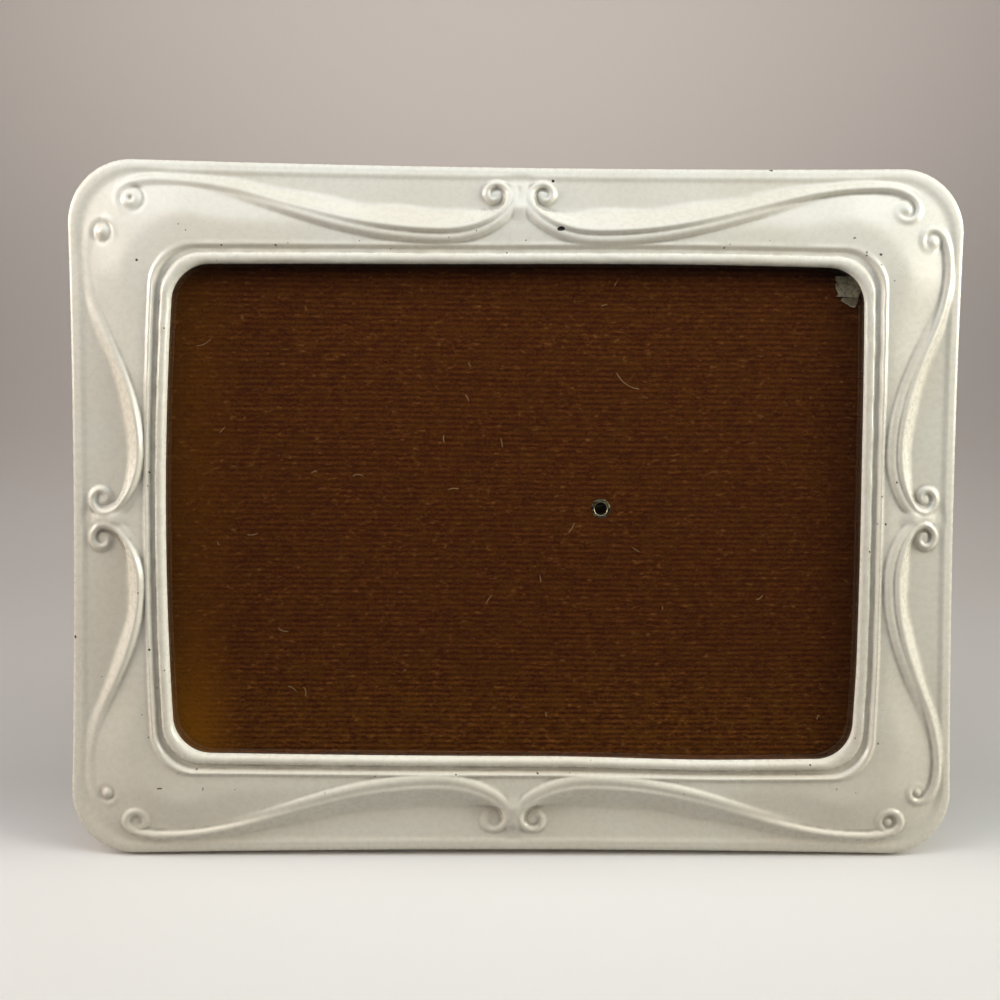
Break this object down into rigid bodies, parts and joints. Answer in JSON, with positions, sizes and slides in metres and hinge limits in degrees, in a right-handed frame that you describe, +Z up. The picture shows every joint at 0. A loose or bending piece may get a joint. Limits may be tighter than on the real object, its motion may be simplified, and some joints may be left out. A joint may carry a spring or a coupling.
{
  "type": "picture frame",
  "caption": "Ivory-painted cast metal picture frame with raised S-scrolls, a glass pane, a paper-faced backing board held by turn buttons, and a swivelling easel strut.",
  "frame": {"origin": "on the floor, under the centre of the whole part's box, with the frame standing landscape and its strut open", "axes": "+X to the right seen from the front, +Y backwards, +Z up"},
  "size_m": [0.22, 0.0464, 0.1667],
  "materials": {
    "ivory_paint": "thick satin ivory paint, chipped at a few spots, grime in the creases",
    "pane": "clear window glass, polished",
    "brown_paper": "ribbed brown paper, matt, a little lint",
    "grey_paper": "torn grey paper, creased",
    "grey_board": "grey pulp board, raw edges",
    "dark_paper": "dark brown leather-grained paper",
    "strut_cover": "board covered with dark brown leather-grained paper",
    "plated": "aged brass-plated stamping, dulled",
    "steel": "zinc-plated steel, dulled"
  },
  "bodies": {
    "frame": {"cast_frame": "ivory_paint", "glass_pane": "pane", "facing_paper": "brown_paper", "backing_board": "grey_board", "rear_paper": "dark_paper", "paper_scrap": "grey_paper", "pivot_eyelet": "plated", "pivot_washer": "steel", "turn_screw_top_left": "steel", "turn_screw_top_right": "steel", "turn_screw_bottom_left": "steel", "turn_screw_bottom_right": "steel"},
    "swivel": {"swivel_leaf": "steel", "hinge_pin": "steel"},
    "strut": {"strut_leaf": "steel", "strut_board": "strut_cover", "strut_eyelet_left": "plated", "strut_eyelet_right": "plated"},
    "button_top_left": {"turn_button_top_left": "plated"},
    "button_top_right": {"turn_button_top_right": "plated"},
    "button_bottom_left": {"turn_button_bottom_left": "plated"},
    "button_bottom_right": {"turn_button_bottom_right": "plated"}
  },
  "joints": [
    {"name": "strut_swivel", "type": "hinge", "parent": "frame", "child": "swivel", "pos_m": [0.0209, 0.00278, 0.08388], "axis": [0, -0.9703, 0.2419], "continuous": true},
    {"name": "strut_hinge", "type": "hinge", "parent": "swivel", "child": "strut", "pos_m": [0.0209, 0.0022, 0.06959], "axis": [1, 0, 0], "range_deg": [-25, 0]},
    {"name": "turn_top_left", "type": "hinge", "parent": "frame", "child": "button_top_left", "pos_m": [-0.055, 0.01966, 0.1516], "axis": [0, -0.9703, 0.2419], "continuous": true},
    {"name": "turn_top_right", "type": "hinge", "parent": "frame", "child": "button_top_right", "pos_m": [0.055, 0.01966, 0.1516], "axis": [0, -0.9703, 0.2419], "continuous": true},
    {"name": "turn_bottom_left", "type": "hinge", "parent": "frame", "child": "button_bottom_left", "pos_m": [-0.055, -0.01469, 0.01382], "axis": [0, -0.9703, 0.2419], "continuous": true},
    {"name": "turn_bottom_right", "type": "hinge", "parent": "frame", "child": "button_bottom_right", "pos_m": [0.055, -0.01469, 0.01382], "axis": [0, -0.9703, 0.2419], "continuous": true}
  ]
}
